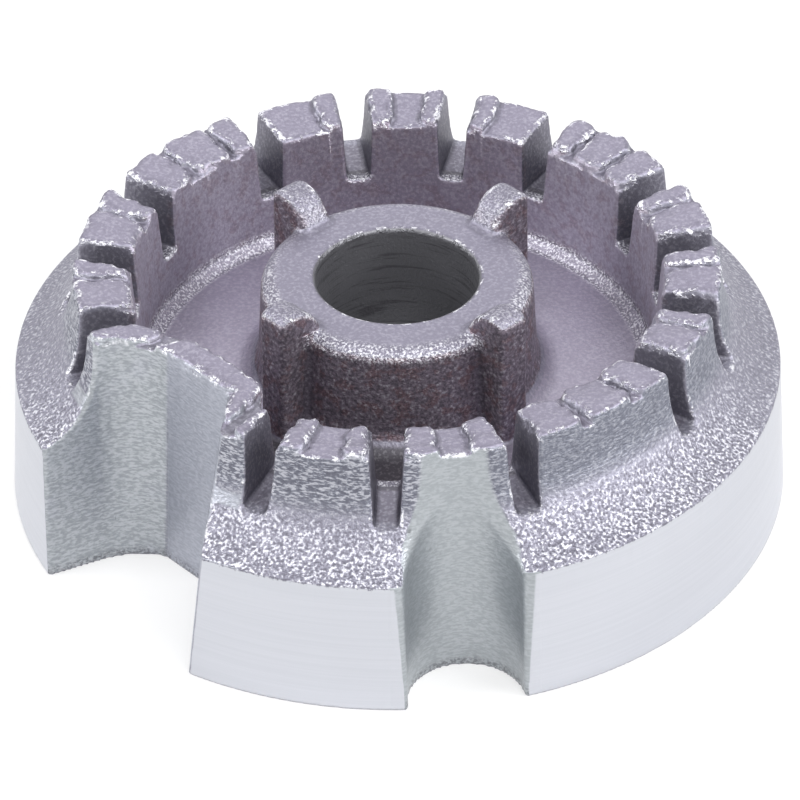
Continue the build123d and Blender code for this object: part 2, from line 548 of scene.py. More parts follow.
    def top_heights(self, across: Array, along: Array) -> Array:
        """Heights of the tooth tops.

        The slope of the ring's top, less the depth of the grooves and steps, with each pad
        between them domed, rolled off along its sides like a quarter circle and rounded in plan.

        Args:
            across, along: The points in plan.

        Returns:
            The heights.
        """
        sizes, rounds = self.sizes, self.rounds
        radius = np.hypot(across, along)
        angle = np.degrees(np.arctan2(along, across)) % 360
        level = np.full_like(across, sizes.ring_height - rounds.pad_plan_depth)
        slope = (sizes.ring_height - sizes.chamber_height) / (sizes.ring_radius - sizes.chamber_radius)
        base = sizes.chamber_height + rounds.pad_rise + np.maximum(radius - sizes.chamber_radius, 0.0) * slope
        notch, channel = self.notch(across, along, level), self.channel(across, along, level)
        inner = np.maximum.reduce(
            (radius - sizes.chamber_radius + rounds.pad_overhang[0],
             sizes.notch_wall - notch, sizes.channel_wall - channel))
        sides = np.minimum.reduce((self.ports(across, along, level), notch, channel))
        grooves = np.full_like(across, FAR)
        for groove in sizes.groove_angles:
            ahead, aside = turned(across, along, groove)
            half = sizes.wide_groove_width if groove in sizes.wide_grooves else sizes.groove_width
            grooves = np.where(ahead > 0, np.minimum(grooves, np.abs(aside) - half), grooves)
        stepped = np.full_like(across, FAR)
        for start, end in sizes.steps:
            away = np.maximum(start - angle, angle - end) * math.pi / 180 * radius
            stepped = np.minimum(stepped, away)
        pads = np.minimum(grooves, stepped)
        outer = radius - sizes.ring_radius - rounds.pad_overhang[1]
        pad = -meet(meet(-inner, outer, rounds.tooth_corner), -pads, rounds.pad_corner)
        pad = -meet(-pad, -sides, rounds.tooth_corner) + lumps(pad.shape, rounds.pad_wave, 1)
        drop = sizes.groove_depth * quarter(pad / rounds.pad_edge)
        drop = drop + rounds.pad_dome * np.clip(1.0 - pad / rounds.dome_reach, 0.0, 1.0) ** 2
        in_step = fade(-stepped, -0.1, 0.15)
        edge = np.minimum(-meet(-inner, outer, rounds.step_edge), sides) / rounds.step_edge
        step_drop = sizes.step_depth + rounds.step_sag * quarter(edge)
        drop = drop * (1.0 - in_step) + step_drop * in_step
        height, spread = rounds.skin_wave
        ragged = fade(-np.abs(pad), -0.6, -0.15) * (1.0 - in_step) * rounds.lip_wave + height
        skin = ragged * lumps(pad.shape, (1.0, spread), 2)
        return base - drop + skin + lumps(pad.shape, rounds.long_wave, 3)

    def distance(self, across: Array, along: Array, height: Array) -> Array:
        """Distance to the casting: the turned section joined by the notch walls and the lugs, less
        the notches, the slots and what lies above the tooth tops.

        Args:
            across, along, height: The points.

        Returns:
            The distances.
        """
        sizes, rounds = self.sizes, self.rounds
        radius = np.hypot(across, along)
        solid = self.section.read(radius, height)
        channel = self.channel(across, along, height)
        shape = solid.shape
        notch = np.full(shape, FAR, np.float32)
        aside, away = sizes.notch_least
        near = np.broadcast_to((across < -aside) & (along < -aside) & (radius > away), shape)
        spots = [np.broadcast_to(values, shape)[near] for values in (across, along, height)]
        notch[near] = self.notch(*spots)
        walls = np.minimum(notch - sizes.notch_wall, channel - sizes.channel_wall)
        inset = self.envelope.read(radius, height) + rounds.wall_foot
        solid = join(solid, np.maximum(walls, inset), rounds.wall_foot)
        solid = cut(solid, channel, self.channel_lip(height))
        solid = cut(solid, notch, self.notch_lip(height))
        solid = cut(solid, self.ports(across, along, height), rounds.port_lip)
        above = (height - self.tops.read(across, along)) * rounds.top_steepness
        above = np.where(radius > sizes.port_start, above, -FAR)
        solid = np.maximum(solid, above)
        solid = join(solid, self.lugs(across, along, height), rounds.lug_foot)
        return np.maximum(solid, -height)

    def beside(self, points: Array, reach: float) -> Iterator[tuple[Array, Array]]:
        """For each axis in turn, the distances a short way ahead of points and behind them."""
        for axis in range(3):
            shift = np.zeros(3, points.dtype)
            shift[axis] = reach
            yield self.distance(*(points + shift).T), self.distance(*(points - shift).T)

    def bend(self, points: Array, reach: float = 0.22) -> Array:
        """How the surface bends at points, above 0 on an edge and below 0 in a corner.

        The sum of the distances a short way each side on each axis, less six times the point's
        own, over that way.

        Args:
            points: The points.
            reach: That way in millimetres.

        Returns:
            The bend at each point.
        """
        total = -6 * self.distance(*points.T)
        for ahead, behind in self.beside(points, reach):
            total += ahead + behind
        return total / reach

    def settle(self, points: Array, rounds: int = 2, reach: float = 0.04, most: float = 0.15,
               least: float = 0.3) -> Array:
        """Move points along the slope onto the surface, by the distance over the slope's size.

        Args:
            points: The points.
            rounds: How often.
            reach: How far to each side the slope is taken.
            most: The furthest that a point moves each time.
            least: The least size that a slope counts as.

        Returns:
            The moved points, none below the rim.
        """
        for _ in range(rounds):
            changes = [ahead - behind for ahead, behind in self.beside(points, reach)]
            slope = np.column_stack(changes).astype(points.dtype) / (2 * reach)
            size = np.maximum(np.linalg.norm(slope, axis=1), least)
            away = np.clip(self.distance(*points.T) / size, -most, most)
            points = points - slope * (away / size)[:, None]
        points[:, 2] = np.maximum(points[:, 2], 0.0)
        return points


def net(values: Array, low: Corner, step: float) -> tuple[Array, Array]:
    """Closed surface where a field on a grid changes sign.

    Each cell with corners on both sides gets one point, the mean of the crossings on its edges,
    each found by straight interpolation. Each grid edge with a crossing gets a quad through the
    points of the four cells around it, turned to face the positive side.

    Args:
        values: The field.
        low: Place of its first entry.
        step: Grid spacing.

    Returns:
        The points and the quads.
    """
    inside = values < 0
    cells = tuple(size - 1 for size in values.shape)
    offsets = np.array([(i, j, k) for i in (0, 1) for j in (0, 1) for k in (0, 1)])
    count = np.zeros(cells, np.uint8)
    for i, j, k in offsets:
        count += inside[i:cells[0] + i, j:cells[1] + j, k:cells[2] + k]
    mixed = (count > 0) & (count < 8)
    place = np.column_stack(np.nonzero(mixed))
    number = np.full(cells, -1, np.int32)
    number[mixed] = np.arange(len(place))
    corners = [values[tuple((place + offset).T)] for offset in offsets]
    total, crossings = np.zeros((len(place), 3)), np.zeros(len(place))
    for first in range(8):
        for second in range(first + 1, 8):
            if np.abs(offsets[first] - offsets[second]).sum() != 1:
                continue
            start, end = corners[first], corners[second]
            crossed = (start < 0) != (end < 0)
            share = np.where(crossed, start / np.where(crossed, start - end, 1.0), 0.0)
            total += (offsets[first] + share[:, None] * (offsets[second] - offsets[first])) * crossed[:, None]
            crossings += crossed
    points = np.array(low) + step * (place + total / crossings[:, None])
    quads = []
    for axis in range(3):
        ahead, aside = (axis + 1) % 3, (axis + 2) % 3
        low_side = [slice(None)] * 3
        high_side = [slice(None)] * 3
        low_side[axis], high_side[axis] = slice(0, -1), slice(1, None)
        for other in (ahead, aside):
            low_side[other] = high_side[other] = slice(1, -1)
        first, second = inside[tuple(low_side)], inside[tuple(high_side)]
        edge = np.column_stack(np.nonzero(first != second))
        outwards = first[tuple(edge.T)]
        edge[:, ahead] += 1
        edge[:, aside] += 1
        around = []
        for one, other in ((-1, -1), (0, -1), (0, 0), (-1, 0)):
            cell = edge.copy()
            cell[:, ahead] += one
            cell[:, aside] += other
            around.append(number[tuple(cell.T)])
        quad = np.column_stack(around)
        quad[~outwards] = quad[~outwards][:, ::-1]
        quads.append(quad)
    return points, np.vstack(quads)


def from_screen(screen: Screen) -> tuple[float, ...]:
    """Turn a screen colour of 0 to 255, none of it near black, into the linear colour that a shader
    takes: the power 2.4 of each share of 255 plus 0.055, over 1.055."""
    return tuple(((level / 255 + 0.055) / 1.055) ** 2.4 for level in screen)


class Value:
    """A number in a shader graph, on which Python's operators add Math nodes."""

    def __init__(self, graph: "Graph", socket: Socket) -> None:
        """Keep the graph and the output socket that holds the number."""
        self.graph = graph
        self.socket = socket

    def math(self, operation: str, *others: "Value | float") -> "Value":
        """Add one Math node, whose first value this is."""
        inputs = dict(enumerate((self, *others)))
        return self.graph.value("ShaderNodeMath", {"operation": operation}, inputs)

    def __add__(self, other: "Value | float") -> "Value":
        """Sum."""
        return self.math("ADD", other)

    __radd__ = __add__

    def __sub__(self, other: "Value | float") -> "Value":
        """Difference."""
        return self.math("SUBTRACT", other)

    def __rsub__(self, other: float) -> "Value":
        """Difference from a number on the left."""
        return (self * -1.0) + other

    def __mul__(self, other: "Value | float") -> "Value":
        """Product."""
        return self.math("MULTIPLY", other)

    __rmul__ = __mul__

    def __pow__(self, other: float) -> "Value":
        """Power."""
        return self.math("POWER", other)

    def __abs__(self) -> "Value":
        """Size without its sign."""
        return self.math("ABSOLUTE")

    def least(self, other: "Value | float") -> "Value":
        """The smaller of two values."""
        return self.math("MINIMUM", other)

    def most(self, other: "Value | float") -> "Value":
        """The larger of two values."""
        return self.math("MAXIMUM", other)

    def rise(self, low: float, high: float) -> "Value":
        """A smooth step.

        Args:
            low: Where the step starts, at 0.
            high: Where the step ends, at 1. Below low, the step falls instead.

        Returns:
            0 up to low, 1 past high and a smooth curve between them.
        """
        if high < low:
            return 1.0 - self.rise(high, low)
        return self.graph.value(
            "ShaderNodeMapRange", {"interpolation_type": "SMOOTHSTEP"},
            {"Value": self, "From Min": low, "From Max": high})


class Graph:
    """The node tree of one material or world, and the one way of adding nodes to it."""

    def __init__(self, tree: bpy.types.NodeTree) -> None:
        """Empty the tree."""
        self.tree = tree
        tree.nodes.clear()

    def node(self, kind: str, settings: dict | None = None, inputs: dict | None = None) -> bpy.types.Node:
        """Add a node.

        Args:
            kind: The node's type.
            settings: Its properties, set before its sockets.
            inputs: Values, colours or links by socket name or number.

        Returns:
            The node.
        """
        made = self.tree.nodes.new(kind)
        for name, setting in (settings or {}).items():
            setattr(made, name, setting)
        for name, given in (inputs or {}).items():
            socket = made.inputs[name]
            source = given.socket if isinstance(given, Value) else given
            if isinstance(source, Socket):
                self.tree.links.new(source, socket)
            else:
                socket.default_value = source
        return made

    def value(self, kind: str, settings: dict | None, inputs: dict | None, output: int | str = 0) -> Value:
        """Add a node and take one output as a number."""
        return Value(self, self.node(kind, settings, inputs).outputs[output])

    def vector(self, operation: str, *inputs: object) -> Socket:
        """Add a Vector Math node and take its vector."""
        return self.node("ShaderNodeVectorMath", {"operation": operation}, dict(enumerate(inputs))).outputs[0]

    def dot(self, first: object, second: object) -> Value:
        """Dot product of two vectors."""
        return self.value("ShaderNodeVectorMath", {"operation": "DOT_PRODUCT"}, {0: first, 1: second}, 1)

    def blend(self, share: Value | float, under: object, over: object) -> Socket:
        """Lay one colour over another.

        Args:
            share: How much of the upper colour shows.
            under: The lower colour.
            over: The upper colour.

        Returns:
            The mixed colour.
        """
        settings = {"data_type": "RGBA", "clamp_factor": True}
        under, over = ((*given, 1.0) if isinstance(given, tuple) else given for given in (under, over))
        return self.node("ShaderNodeMix", settings, {0: share, 6: under, 7: over}).outputs[2]

    def noise(self, place: object, scale: float, detail: float = 2.0, rough: float = 0.5) -> Value:
        """Fractal noise about 0.5, of scale lumps per millimetre and detail octaves."""
        return self.value(
            "ShaderNodeTexNoise", None,
            {"Vector": place, "Scale": scale, "Detail": detail, "Roughness": rough})


def new_material(name: str) -> tuple[bpy.types.Material, Graph]:
    """Make a material with this name and no nodes yet."""
    material = bpy.data.materials.new(name)
    material.use_nodes = True
    return material, Graph(material.node_tree)


def placed(name: str, data: bpy.types.ID) -> bpy.types.Object:
    """Add an object for a mesh, camera or lamp to the scene, at the origin."""
    made = bpy.data.objects.new(name, data)
    bpy.context.scene.collection.objects.link(made)
    return made


def set_places(mesh: bpy.types.Mesh, points: Array) -> None:
    """Put a mesh's points at places given in millimetres."""
    mesh.vertices.foreach_set("co", (points * MM).astype(np.float32).ravel())


@dataclass(frozen=True)
class Tint:
    """Colours of the zones of the casting's skin, as screen colours."""

    turned_band: Screen = (201, 203, 210)
    flange: Screen = (145, 144, 157)
    grain: Screen = (236, 236, 243)
    # Dark pits of the grain, and the colour of the painted shade in concave corners.
    pit_and_crease_shade: Screen = (94, 92, 103)
    ring_outside: Screen = (124, 127, 139)
    tooth_top: Screen = (137, 133, 149)
    slot_wall: Screen = (128, 126, 138)
    # The chamber wall's colour in painted shade, for its back; chamber_wall is the lighter colour of its lit
    # sides.
    shaded_chamber_back: Screen = (155, 147, 162)
    chamber_wall: Screen = (174, 168, 183)
    slot_floor: Screen = (126, 123, 136)
    chamber_floor: Screen = (156, 151, 166)
    boss_side: Screen = (134, 124, 135)
    boss_top: Screen = (130, 127, 142)
    bore: Screen = (127, 127, 132)
    # Dark stains of soot on the boss side and in the bore, a dark fringe at the wall feet, and the colour of
    # the painted shade and painted shadow on the chamber and slot floors.
    rust: Screen = (130, 104, 108)
    soot_and_painted_shade: Screen = (84, 82, 88)
    left_wall: Screen = (168, 173, 178)
    diagonal_wall: Screen = (170, 173, 184)
    channel_wall: Screen = (169, 174, 178)
    # Bright edges: worn metal, and painted highlight.
    edge_wear_and_highlight: Screen = (244, 244, 250)
    underside: Screen = (160, 159, 170)


class Spot:
    """A point of the skin as sockets: its place in millimetres, how it faces and bends, and the
    noises there."""

    def __init__(self, graph: Graph, skin: "CastSkin") -> None:
        """Make the sockets.

        Args:
            graph: The material's nodes.
            skin: The finish, which holds the sizes of the grain.
        """
        coordinates = graph.node("ShaderNodeTexCoord").outputs["Object"]
        place = graph.node(
            "ShaderNodeVectorMath", {"operation": "SCALE"}, {0: coordinates, "Scale": 1 / MM}).outputs[0]
        parts = graph.node("ShaderNodeSeparateXYZ", None, {0: place})
        self.graph = graph
        self.across, self.along, self.height = (Value(graph, parts.outputs[axis]) for axis in range(3))
        self.radius = (self.across * self.across + self.along * self.along) ** 0.5
        normal = graph.node("ShaderNodeNewGeometry").outputs["Normal"]
        self.up = Value(graph, graph.node("ShaderNodeSeparateXYZ", None, {0: normal}).outputs[2])
        self.plan = graph.node(
            "ShaderNodeCombineXYZ", None, {0: self.across, 1: self.along, 2: 0.0}).outputs[0]
        self.outwards = graph.dot(normal, graph.vector("NORMALIZE", self.plan))
        self.bend = graph.value("ShaderNodeAttribute", {"attribute_name": "bend"}, None, "Fac")
        self.coarse, self.pebble, self.fine, self.cloud, self.blotch = (
            graph.noise(place, *noise) for noise in (
                (skin.grain_per_mm, 2.0, 0.6), (skin.pebble_per_mm, 3.0, 0.55),
                (skin.fine_per_mm, 2.0, 0.55), (0.3, 3.0, 0.55), (1.1, 3.0, 0.6)))
        self.ripple, self.turning, self.rings = (
            self.stretched(place, *noise)
            for noise in ((2.3, 6.4, 2.0), (0.06, 5.0, 3.0), (0.25, 3.4, 3.0)))

    def stretched(self, place: Socket, flat: float, tall: float, detail: float) -> Value:
        """Noise of flat lumps per millimetre across and tall lumps per millimetre up."""
        return self.graph.noise(self.graph.vector("MULTIPLY", place, (flat, flat, tall)), 1.0, detail, 0.6)

    def ahead_aside(self, angle: float) -> tuple[Value, Value]:
        """Distances ahead of the axis and to its left, for a direction in plan in degrees."""
        turn = math.radians(angle)
        return (self.graph.dot(self.plan, (math.cos(turn), math.sin(turn), 0.0)),
                self.graph.dot(self.plan, (-math.sin(turn), math.cos(turn), 0.0)))


class Zones:
    """The parts of the skin as masks from 0 to 1.

    The two numbers of each rise are the values between which a mask fades: millimetres for a
    place, cosines for the way the skin faces, shares for a noise.
    """

    def __init__(self, spot: Spot, sizes: Sizes) -> None:
        """Make the masks.

        Args:
            spot: The point as sockets.
            sizes: The casting's sizes.
        """
        radius, height, outwards, bend = spot.radius, spot.height, spot.outwards, spot.bend
        steep = abs(spot.up).rise(0.62, 0.45)
        level = spot.up.rise(0.55, 0.8)
        self.below = spot.up.rise(-0.5, -0.75)
        # The turned band ends in a ragged line just under the flange.
        jagged = sizes.band_height - 0.12 + (spot.pebble - 0.5) * 0.9
        self.band = (height - jagged).rise(0.06, -0.06) * radius.rise(26.3, 26.5) * outwards.rise(0.92, 0.97)
        ahead, aside = spot.ahead_aside(sizes.notch_angle)
        # The notch's walls lie within a box in plan, cut off along the slots beside them.
        notch = ahead.rise(17.2, 17.6) * aside.rise(-10.5, -9.5) * (aside - ahead).rise(-13.4, -13.9)
        notch = notch * (aside + (ahead - 18.2) * 1.45).rise(-5.3, -4.9)
        notch = notch * steep * (1.0 - radius.rise(22.3, 22.6) * outwards.rise(0.86, 0.93))
        self.diagonal = notch * aside.rise(-3.4, -3.0)
        ahead, aside = spot.ahead_aside(sizes.channel_angle)
        low, high = sizes.channel_reach
        centre = low + sizes.channel_radius + (high - low) / sizes.ring_height * height
        # The channel's wall is less wide on the ring than on the band.
        behind = (ahead - centre).least(0.0)
        away = (behind * behind + aside * aside) ** 0.5 - sizes.channel_radius
        away = away - 0.65 * height.rise(12.0, 10.0)
        self.channel = away.rise(0.55, 0.35) * ahead.rise(21.0, 21.4) * steep
        self.hollow = notch.most(self.channel)
        clear = 1.0 - self.hollow
        # A dark fringe, broken by noise, at the foot of the notch's and channel's walls.
        self.dark_foot_fringe = self.hollow * height.rise(0.9, 0.3) * spot.pebble.rise(0.4, 0.6)

        inside = radius.rise(sizes.chamber_radius + 0.7, sizes.chamber_radius + 0.2)
        chamber = inside * height.rise(sizes.floor_height - 0.6, sizes.floor_height - 0.2) * clear
        self.chamber_wall = chamber * radius.rise(12.5, 14.0) * steep
        self.boss_side = chamber * steep * radius.rise(13.0, 12.0)
        self.bore = radius.rise(sizes.bore_radius + 0.22, sizes.bore_radius + 0.1)
        self.ring_top = level * height.rise(15.8, 16.1) * radius.rise(14.0, 15.0)
        self.groove = None
        for angle in sizes.wide_grooves:
            ahead, aside = spot.ahead_aside(angle)
            floor = self.ring_top * abs(aside).rise(0.55, 0.35) * ahead.rise(15.0, 16.0)
            self.groove = floor if self.groove is None else self.groove.most(floor)
        self.boss_top = level * radius.rise(12.5, 12.0) * height.rise(15.5, 15.9)
        self.floor = chamber * level * height.rise(10.5, 9.8)
        # Painted shade on the front of the chamber floor, except on its right.
        self.shaded_floor = self.floor * spot.along.rise(-7.0, -9.5) * spot.across.rise(8.0, 5.0)
        slot = radius.rise(17.6, 18.0) * height.rise(12.0, 12.6) * height.rise(17.2, 16.9)
        self.slot_floor = radius.rise(17.6, 18.0) * level * height.rise(13.0, 12.8)
        self.slot_floor = self.slot_floor * height.rise(11.9, 12.2) * radius.rise(23.2, 22.6)
        # A painted shadow on each slot floor, on a strip just outside the burr at its inner end.
        self.burr_shadow_line = self.slot_floor * radius.rise(18.9, 19.1) * radius.rise(19.6, 19.3)
        self.slot_wall = slot * steep * abs(outwards).rise(0.6, 0.4) * clear
        self.ring_outside = steep * outwards.rise(0.6, 0.8) * height.rise(12.4, 14.2) * clear
        self.ring_outside = self.ring_outside * radius.rise(20.5, 21.5)
        self.rough = 1.0 - self.band.most(self.hollow * 0.9)
        self.flange = radius.rise(22.5, 24.2) * height.rise(14.2, 12.3) * self.rough
        self.flange = self.flange * spot.up.rise(0.12, 0.45) * (0.4 + 0.6 * spot.along.rise(-3.0, -13.0))
        self.rim = self.flange * radius.rise(23.8, 26.4)

        # Rough burrs with dark and bright specks, the bright ones partly painted highlight: on the boss rim,
        # strongest at the front, on a band at the foot of the chamber wall, and at the slots' inner ends.
        boss_rim = radius.rise(8.1, 8.8) * radius.rise(10.3, 9.8) * height.rise(15.1, 15.6)
        boss_rim = boss_rim * height.rise(16.5, 16.4) * (0.35 + 0.65 * spot.along.rise(3.0, -2.0))
        self.lug_top = height.rise(16.4, 16.8) * radius.rise(13.0, 12.5) * spot.up.rise(0.2, 0.5)
        foot_band = radius.rise(16.9, 17.2) * inside * height.rise(8.3, 8.5) * height.rise(9.7, 9.3)
        slot_burr = self.slot_floor * radius.rise(19.1, 18.9)
        self.burr_and_highlight = boss_rim.most(foot_band).most(slot_burr) * clear
        # Bright convex edges broken by noise: worn metal, with painted highlight that is strongest where the
        # edges face up.
        edge = bend.rise(0.18, 0.45) * (1.0 - self.band) * height.rise(7.0, 8.0) * radius.rise(26.4, 26.1)
        broken = (spot.coarse * 0.4 + spot.blotch * 0.6).rise(0.5, 0.6)
        self.edge_wear_and_highlight = edge * broken * (0.1 + 0.9 * spot.up.rise(0.1, 0.4))
        # Painted shade in concave corners.
        self.crease = bend.rise(-0.1, -0.4)


@dataclass(frozen=True)
class CastSkin:
    """Die-cast aluminium: grain that coarsens on the flange, ripples in the notches, and bright lips that are
    partly worn metal and partly painted highlight.
    """

    sizes: Sizes = Sizes()
    tint: Tint = Tint()
    metallic: float = 0.8
    grain_per_mm: float = 3.8
    pebble_per_mm: float = 4.6
    fine_per_mm: float = 6.0

    def colour(self, graph: Graph, spot: Spot, zone: Zones) -> Socket:
        """Mix the colours of the zones, one over the other.

        Args:
            graph: The material's nodes.
            spot: The point as sockets.
            zone: The masks.

        Returns:
            The colour.
        """
        tone = {name: from_screen(screen) for name, screen in asdict(self.tint).items()}
        calm = 1.0 - 0.2 * zone.ring_top - 0.35 * zone.floor - 0.3 * zone.boss_top
        grain = spot.coarse + (spot.pebble - spot.coarse) * zone.flange
        speckle = zone.rough * calm
        stroke = spot.ripple.rise(0.38, 0.62) - 0.5
        striped = zone.hollow * (0.42 - 0.2 * zone.diagonal.most(zone.channel))
        striped = striped + zone.ring_outside * (0.3 + 0.6 * spot.across.rise(9.0, 5.0))
        layers = (
            (zone.ring_outside, "ring_outside"),
            # Painted shade: the back of the chamber wall is darker than its lit sides.
            (zone.chamber_wall, "shaded_chamber_back"),
            (zone.chamber_wall * abs(spot.across).rise(6.0, 14.0), "chamber_wall"),
            (zone.floor, "chamber_floor"),
            # Painted shade on the front of the chamber floor.
            (zone.shaded_floor, "soot_and_painted_shade"),
            (zone.ring_top, "tooth_top"),
            (zone.groove, "slot_wall"),
            (zone.slot_wall, "slot_wall"),
            (zone.slot_floor, "slot_floor"),
            # Painted shadow of the slot burrs.
            (zone.burr_shadow_line * 0.7, "soot_and_painted_shade"),
            (zone.boss_side, "boss_side"),
            (zone.boss_top, "boss_top"),
            (zone.below, "underside"),
            (zone.hollow, "left_wall"),
            (zone.diagonal.most(zone.hollow * spot.cloud.rise(0.5, 0.7) * 0.4), "diagonal_wall"),
            (zone.channel, "channel_wall"),
            (zone.dark_foot_fringe * 0.6, "soot_and_painted_shade"),
            ((zone.boss_side + zone.chamber_wall * 0.4) * spot.blotch.rise(0.5, 0.62) * 0.7, "rust"),
            (zone.boss_side * spot.coarse.rise(0.5, 0.36) * 0.55, "soot_and_painted_shade"),
            (zone.boss_side * spot.coarse.rise(0.6, 0.72) * 0.35, "grain"),
            (grain.rise(0.52, 0.36) * speckle * (0.2 + 0.5 * zone.flange), "pit_and_crease_shade"),
            (grain.rise(0.51, 0.63) * speckle * (0.13 + 0.5 * zone.flange + 0.27 * zone.rim), "grain"),
            # Painted shade in concave corners.
            (zone.crease * 0.35, "pit_and_crease_shade"),
            (striped * stroke.most(0.0), "grain"),
            (striped * (stroke * -1.0).most(0.0), "pit_and_crease_shade"),
            # Dark and bright specks on the burrs and lug tops; the bright specks are partly painted
            # highlight.
            (zone.burr_and_highlight.most(zone.lug_top) * spot.fine.rise(0.52, 0.42) * 0.2, "pit_and_crease_shade"),
            (zone.burr_and_highlight.most(zone.lug_top * 0.4) * spot.fine.rise(0.48, 0.64) * 0.62, "edge_wear_and_highlight"),
            # Bright edges: worn metal and painted highlight.
            (zone.edge_wear_and_highlight * (0.8 - 0.5 * zone.groove), "edge_wear_and_highlight"))
        mixed = tone["flange"]
        for share, name in layers:
            mixed = graph.blend(share, mixed, tone[name])
        turned_skin = graph.blend(spot.turning.rise(0.3, 0.7) * 0.11, tone["turned_band"], tone["grain"])
        mixed = graph.blend(zone.band, mixed, turned_skin)
        mixed = graph.blend(zone.bore, mixed, tone["bore"])
        return graph.blend(zone.bore * spot.rings.rise(0.5, 0.66) * 0.6, mixed, tone["soot_and_painted_shade"])

    def build(self) -> bpy.types.Material:
        """Make the material.

        Returns:
            The finished material.
        """
        material, graph = new_material("die_cast_aluminium")
        spot = Spot(graph, self)
        zone = Zones(spot, self.sizes)
        rough = 0.36 + 0.14 * zone.rough - 0.06 * zone.edge_wear_and_highlight + 0.12 * (spot.fine - 0.5)
        # The relief is in millimetres.
        relief = zone.rough * spot.coarse * (0.035 + 0.04 * zone.flange + 0.1 * zone.edge_wear_and_highlight + 0.1 * zone.lug_top)
        for layer in (
                zone.rough * spot.fine * (0.014 + 0.02 * zone.edge_wear_and_highlight + 0.08 * zone.burr_and_highlight),
                spot.pebble * (zone.flange * 0.11 + zone.rim * 0.05 + zone.boss_side * 0.05),
                (zone.hollow * 0.04 + zone.ring_outside * 0.08) * spot.ripple,
                zone.band * spot.turning * 0.006):
            relief = relief + layer
        bump = graph.node(
            "ShaderNodeBump", None, {"Strength": 1.0, "Distance": MM, "Height": relief}).outputs[0]
        shader = graph.node(
            "ShaderNodeBsdfPrincipled", None,
            {"Base Color": self.colour(graph, spot, zone), "Metallic": self.metallic, "Roughness": rough,
             "Normal": bump})
        graph.node("ShaderNodeOutputMaterial", None, {"Surface": shader.outputs[0]})
        return material


@dataclass
class Casting:
    """The spreader's one cast body, which stands for the CAD node."""

    node: str = "flame_spreader"
    slot: str = "cast_aluminium"
    sizes: Sizes = field(default_factory=Sizes)
    rounds: Rounds = field(default_factory=Rounds)
    skin: CastSkin = field(default_factory=CastSkin)
    grid_step: float = 0.2
    grid_reach: float = 27.9
    grid_low: float = -0.35
    grid_high: float = 19.0
    most_triangles: int = 195_000
    plain_bend: float = 0.14
    plain_reach: float = 0.42

    def surface(self, form: CastForm) -> tuple[bpy.types.Mesh, Array]:
        """Make the fine surface of the form.

        Args:
            form: The casting's distances.

        Returns:
            A mesh in metres, of quads that lie on the surface, and the numbers of its points
            that are away from any edge.
        """
        flat = np.arange(-self.grid_reach, self.grid_reach + self.grid_step, self.grid_step, dtype=np.float32)
        tall = np.arange(self.grid_low, self.grid_high, self.grid_step, dtype=np.float32)
        values = form.distance(flat[:, None, None], flat[None, :, None], tall[None, None, :])
        points, quads = net(values, (flat[0], flat[0], tall[0]), self.grid_step)
        points = form.settle(points.astype(np.float32))
        plain = np.abs(form.bend(points, self.plain_reach)) < self.plain_bend
        log.info("surface: %d points, %d of them plain, %d quads", len(points), plain.sum(), len(quads))
        mesh = bpy.data.meshes.new("casting_fine")
        mesh.vertices.add(len(points))
        set_places(mesh, points)
        mesh.loops.add(quads.size)
        mesh.loops.foreach_set("vertex_index", quads.astype(np.int32).ravel())
        mesh.polygons.add(len(quads))
        mesh.polygons.foreach_set("loop_start", np.arange(0, quads.size, 4, dtype=np.int32))
        mesh.update(calc_edges=True)
        return mesh, np.flatnonzero(plain)

    def thinned(self, fine: bpy.types.Mesh, plain: Array) -> bpy.types.Mesh:
        """Collapse the fine mesh away from its edges, to keep the triangles few.

        Args:
            fine: The fine mesh.
            plain: Numbers of the points away from any edge, which may go.

        Returns:
            The thinned mesh.
        """
        holder = placed("casting_fine", fine)
        holder.vertex_groups.new(name="plain").add(plain.tolist(), 1.0, "REPLACE")
        thin = holder.modifiers.new("thin", "DECIMATE")
        thin.vertex_group = "plain"
        thin.ratio = self.most_triangles / (2 * len(fine.polygons))
        ready = holder.evaluated_get(bpy.context.evaluated_depsgraph_get())
        mesh = bpy.data.meshes.new_from_object(ready)
        bpy.data.objects.remove(holder)
        bpy.data.meshes.remove(fine)
        mesh.name = "casting"
        return mesh

    def finish(self, mesh: bpy.types.Mesh, form: CastForm) -> None:
        """Set the thinned mesh back on the form and note how it bends.

        Args:
            mesh: The mesh, changed in place.
            form: The casting's distances.
        """
        places = np.empty(len(mesh.vertices) * 3, np.float32)
        mesh.vertices.foreach_get("co", places)
        points = form.settle(places.reshape(-1, 3) / MM, 1)
        set_places(mesh, points)
        layer = mesh.attributes.new("bend", "FLOAT", "POINT")
        layer.data.foreach_set("value", form.bend(points).astype(np.float32))
        mesh.shade_smooth()
        mesh.update()

    def build(self) -> bpy.types.Object:
        """Make the casting.

        Returns:
            The piece, which stands for the CAD node.
        """
        form = CastForm(self.sizes, self.rounds)
        mesh = self.thinned(*self.surface(form))
        self.finish(mesh, form)
        mesh.materials.clear()
        mesh.materials.append(self.skin.build())
        piece = placed("casting", mesh)
        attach(piece, "root")
        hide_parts(self.node)
        log.info("casting: %d vertices, %d faces", len(mesh.vertices), len(mesh.polygons))
        return piece


@dataclass(frozen=True)
class Lamp:
    """A square area lamp: its name, place and side in metres, and its power in watts."""

    name: str
    place: Corner
    side: float
    power: float

    def build(self, target: Corner) -> None:
        """Hang the lamp.

        Args:
            target: The place at which it points.
        """
        data = bpy.data.lights.new(self.name, "AREA")
        data.size = self.side
        data.energy = self.power
        lamp = placed(self.name, data)
        lamp.location = self.place
        lamp.rotation_euler = (Vector(target) - Vector(self.place)).to_track_quat("-Z", "Y").to_euler()


